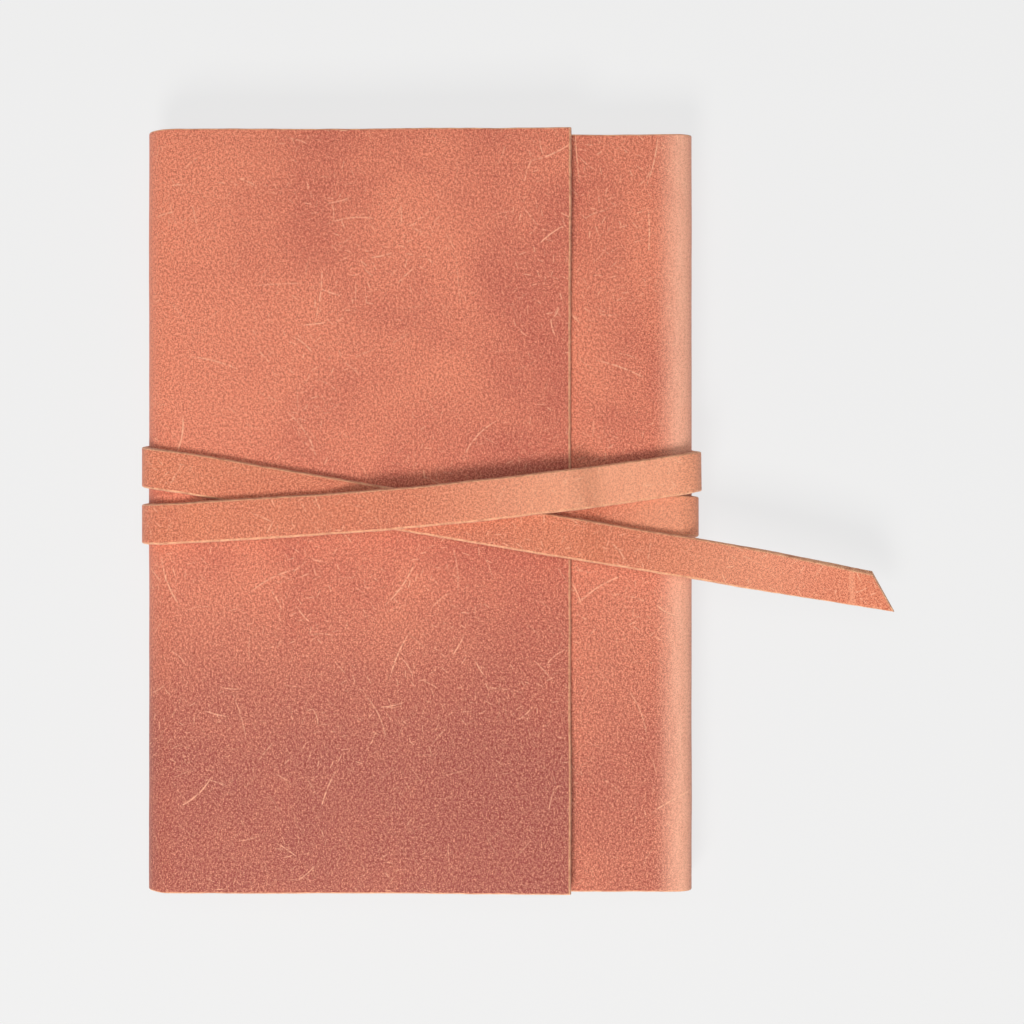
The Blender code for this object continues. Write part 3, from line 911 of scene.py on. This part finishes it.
def strap_fibres(finish):
    """Loose fibres along the strap's cut edges, where it crosses the front."""
    chance = random.Random(11)
    sheet = Sheet()
    runs = ((ROOT_PLACE, ACROSS), (LAP, LAP + ACROSS), (UNDER_START, TAIL_PLACE))
    for start, end in runs:
        for _ in range(int((end - start) * FIBRES_PER_METRE)):
            place = chance.uniform(start, end)
            sign = chance.choice((-1.0, 1.0))
            depth = chance.uniform(0.1, 0.5) * STRAP_THICKNESS
            root = strap_point(place, sign * (STRAP_WIDTH / 2 - 0.0001), depth)
            out = strap_point(place, sign * STRAP_WIDTH, depth) - root
            along = strap_point(place + 0.001, sign * STRAP_WIDTH / 2, depth) - root
            lean = along.normalized() * chance.uniform(-1.4, 1.4)
            lean.z += chance.uniform(-0.1, 0.5)
            droop = Vector((chance.uniform(-0.6, 0.6), chance.uniform(-0.6, 0.6), -0.2))
            direction = (out.normalized() + lean).normalized()
            length = chance.uniform(*FIBRE_LENGTH)
            fibre(sheet, root, direction, droop, length, chance.uniform(*FIBRE_RADIUS))
    obj = sheet.object("strap_edge_fibres", [finish])
    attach(obj, "strap")


# ---------------------------------------------------------------- sleeves, stitching and notebook


def sleeve_piece(name, body, faces_up, finishes, seed):
    """A thin leather band over a board of the notebook, held to the cover at its two ends."""
    low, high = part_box(name)
    drop = (high.z - low.z) - SLEEVE
    level = high.z if faces_up else low.z
    sign = 1.0 if faces_up else -1.0

    def place(y, x, depth):
        seated = ease(abs(y), SLEEVE_RISE, SLEEVE_SEAT)
        wave = SLEEVE_WAVE * wander(x, 0.012, seed) * (1.0 - seated)
        return Vector((x, y, level - sign * (drop * seated + depth + abs(wave))))

    ys = spaced(-SLEEVE_END, SLEEVE_END, SLEEVE_STEP, True, True)
    ys += spaced(SLEEVE_RISE, SLEEVE_SEAT, SLEEVE_CLOSE_STEP)
    ys += spaced(-SLEEVE_SEAT, -SLEEVE_RISE, SLEEVE_CLOSE_STEP)
    ys = sorted(set(ys))
    xs = spaced(low.x, high.x, SLEEVE_STEP, True, True)
    sheet = Sheet()
    sheet.add(place, ys, xs, SLEEVE, edge_round=0.0002, uv_start=(seed, 0.0))
    obj = sheet.object(name + "_leather", finishes)
    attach(obj, body)
    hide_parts(name)


def tube(sheet, centre_line, radius, sides=8):
    """A closed round-ended tube along points that rise and fall like a stitch."""
    first = len(sheet.points)
    count = len(centre_line)
    for i, (point, share) in enumerate(centre_line):
        for k in range(sides):
            turn = 2 * pi * k / sides
            around = Vector((0.0, cos(turn), sin(turn))) * radius * share
            sheet.points.append(point + around)
            sheet.coordinates.append((point.x, turn * radius))
    for i in range(count - 1):
        a, b = first + i * sides, first + (i + 1) * sides
        for k in range(sides):
            sheet.face((a + k, a + (k + 1) % sides, b + (k + 1) % sides, b + k), OUTER)
    sheet.face(tuple(first + k for k in range(sides)), OUTER)
    last = first + (count - 1) * sides
    sheet.face(tuple(last + k for k in range(sides)), OUTER)


def stitching_piece(name, body, finish):
    """A row of saddle stitches, each dipping into the leather at both ends."""
    low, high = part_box(name)
    radius = (high.z - low.z) / 2
    middle = (low + high) / 2
    pitch = 0.0036
    count = int((high.x - low.x) / pitch)
    inward = -1.0 if name.startswith("back") else 1.0
    sheet = Sheet()
    for i in range(count):
        start = low.x + (i + 0.14) * (high.x - low.x) / count
        length = 0.74 * (high.x - low.x) / count
        line = []
        for k in range(9):
            t = k / 8
            dip = inward * 0.0003 * (2 * t - 1) ** 4
            lean = 0.00022 * (2 * t - 1)
            share = 0.55 + 0.45 * sqrt(max(1 - (2 * t - 1) ** 4, 0.0))
            line.append((Vector((start + t * length, middle.y + lean, middle.z + dip)), share))
        tube(sheet, line, radius)
    obj = sheet.object(name + "_thread", [finish])
    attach(obj, body)
    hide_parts(name)


def board_piece(name, body, finish):
    """A board of the notebook, covered in book cloth, with its corners rounded."""
    low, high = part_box(name)
    corner = 0.004
    half = (high.y - low.y) / 2

    def place(x, y, depth):
        if high.x - low.x < 2 * corner:
            return Vector((x, y, high.z - depth))
        into = max(corner - (x - low.x), 0.0)
        shorter = corner - sqrt(max(corner**2 - into**2, 0.0))
        return Vector((x, y * (half - shorter) / half, high.z - depth))

    xs = spaced(low.x, high.x, 0.006, True, True)
    if high.x - low.x > 2 * corner:
        xs = sorted(set(xs + [low.x + corner * (1 - cos(QUARTER * k / 8)) for k in range(1, 9)]))
    sheet = Sheet()
    ys = spaced(low.y, high.y, 0.006, True, True)
    edge_round = min(0.0003, (high.x - low.x) / 4)
    sheet.add(place, xs, ys, high.z - low.z, edge_round=edge_round)
    obj = sheet.object(name + "_cloth", [finish])
    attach(obj, body)
    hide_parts(name)


def signature_piece(name, body, finish, seed):
    """A sewn signature: folded sheets nested in one another, each a little out of line with the next."""
    low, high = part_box(name)
    middle_z = (low.z + high.z) / 2
    half_height = (high.z - low.z) / 2
    sheets = 3
    leaf = 0.00013
    pitch = half_height / sheets
    chance = random.Random(seed)
    stack = Sheet()
    for j in range(sheets):
        radius = half_height - j * pitch
        fore_edge = low.x + chance.uniform(0.0, 0.0005) + 0.00015 * j
        fold_x = high.x - radius - 0.0001 * j
        flat = fold_x - fore_edge
        turn_length = pi * radius
        shift = chance.uniform(-0.0002, 0.0002)

        def place(u, y, depth, fore_edge=fore_edge, fold_x=fold_x, flat=flat, radius=radius, shift=shift):
            """A point in one folded leaf, from its lower fore edge round its fold to its upper one."""
            if u <= flat:
                x, z = fore_edge + u, -(radius - depth)
            elif u <= flat + pi * radius:
                turn = (u - flat) / radius - QUARTER
                x, z = fold_x + (radius - depth) * cos(turn), (radius - depth) * sin(turn)
            else:
                x, z = fold_x - (u - flat - pi * radius), radius - depth
            return Vector((x, y + shift, middle_z + z))

        us = spaced(0.0, flat, 0.012)[:-1]
        us += [flat + turn_length * k / 8 for k in range(9)]
        us += [flat + turn_length + u for u in spaced(0.0, flat, 0.012)[1:]]
        ys = spaced(low.y + 0.0002, high.y - 0.0002, 0.012)
        stack.add(place, us, ys, leaf, edge_round=0.00002, uv_start=(2.5 + 0.5 * j, seed))
    obj = stack.object(name + "_leaves", [finish])
    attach(obj, body)
    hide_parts(name)


def inside_pieces():
    lining = [
        grain_side("sleeve_grain", srgb(190, 112, 84), srgb(168, 94, 72)),
        cut_edge("sleeve_cut_edge", srgb(206, 146, 112), srgb(150, 92, 66)),
        flesh_side("sleeve_flesh_side", srgb(190, 132, 100), srgb(156, 100, 74)),
    ]
    sleeve_piece("back_sleeve", "root", True, lining, 1.0)
    sleeve_piece("front_sleeve", "front", False, lining, 2.0)
    linen = waxed_thread("linen_thread", srgb(214, 176, 132), srgb(150, 104, 70))
    for end in ("top", "bottom"):
        stitching_piece(f"back_sleeve_stitching_{end}", "root", linen)
        stitching_piece(f"front_sleeve_stitching_{end}", "front", linen)
    cloth = card("book_cloth", srgb(74, 68, 64), srgb(42, 38, 36))
    board_piece("notebook_back_board", "root", cloth)
    board_piece("notebook_front_board", "front", cloth)
    board_piece("notebook_spine", "spine", cloth)
    ivory = paper("ivory_paper", srgb(244, 238, 222), srgb(239, 232, 214))
    for i in range(1, 7):
        signature_piece(f"page_signature_{i}", "root" if i <= 3 else "pages", ivory, i)


# ---------------------------------------------------------------- studio


def camera():
    data = bpy.data.cameras.new("camera")
    data.sensor_width = SENSOR_MM
    data.lens = SENSOR_MM * CAMERA_ABOVE_FLAP / VIEW_WIDTH
    data.clip_start = NEAREST_SEEN
    obj = bpy.data.objects.new("camera", data)
    obj.location = (CAMERA_X, CAMERA_Y, FLAP_TOP + CAMERA_ABOVE_FLAP)
    bpy.context.scene.collection.objects.link(obj)
    bpy.context.scene.camera = obj


def area_light(name, place, size, power, colour):
    data = bpy.data.lights.new(name, "AREA")
    data.shape = "SQUARE"
    data.size = size
    data.energy = power
    data.color = colour
    obj = bpy.data.objects.new(name, data)
    obj.location = place
    obj.rotation_euler = (-Vector(place)).to_track_quat("-Z", "Y").to_euler()
    bpy.context.scene.collection.objects.link(obj)


def sky():
    """A white sky that falls off from the horizon up."""
    world = bpy.data.worlds.new("studio")
    world.use_nodes = True
    tree = world.node_tree
    background = tree.nodes["Background"]
    background.inputs["Color"].default_value = (*WHITE, 1.0)
    direction = tree.nodes.new("ShaderNodeTexCoord")
    parts = tree.nodes.new("ShaderNodeSeparateXYZ")
    fall = tree.nodes.new("ShaderNodeMapRange")
    tree.links.new(direction.outputs["Generated"], parts.inputs["Vector"])
    tree.links.new(parts.outputs["Z"], fall.inputs["Value"])
    for name, value in zip(("From Min", "From Max", "To Min", "To Max"), SKY_FALL):
        fall.inputs[name].default_value = value
    tree.links.new(fall.outputs["Result"], background.inputs["Strength"])
    bpy.context.scene.world = world


def studio():
    area_light("key_light", KEY_PLACE, KEY_SIZE, KEY_POWER, KEY_COLOUR)
    area_light("overhead_light", OVERHEAD_PLACE, OVERHEAD_SIZE, OVERHEAD_POWER, WHITE)
    sky()
    bpy.context.scene.view_settings.view_transform = "Standard"

    bpy.ops.mesh.primitive_plane_add(size=FLOOR_SIZE, location=(0.0, 0.0, CAD_BOUNDS[0][2]))
    floor = bpy.context.object
    floor.name = "floor"
    floor.data.materials.append(floor_finish("pale_floor"))


def main():
    hide = [
        # the third colour is the paled wax at bends and the painted highlight on the spine's corner
        grain_side("cover_grain", srgb(238, 135, 105), srgb(203, 98, 81), srgb(255, 192, 162),
                   deep=srgb(152, 61, 66), bends=COVER_PALE_WAX_AND_HIGHLIGHT, shift=COVER_SHIFT),
        cut_edge("cover_cut_edge", srgb(250, 190, 148), srgb(190, 116, 86)),
        flesh_side("cover_flesh_side", srgb(196, 134, 102), srgb(176, 115, 87)),
    ]
    hide_pieces(hide)
    strap = [
        # the third colour is the paled wax and the painted highlight on the strap's runs by the spine
        grain_side("strap_grain", srgb(230, 132, 96), srgb(214, 114, 86), srgb(255, 184, 146),
                   bends=STRAP_PALE_WAX_AND_HIGHLIGHT, shift=STRAP_SHIFT),
        hide[EDGE],
        hide[INNER],
    ]
    strap_pieces(strap)
    strap_fibres(hide[EDGE])
    inside_pieces()
    camera()
    studio()


main()
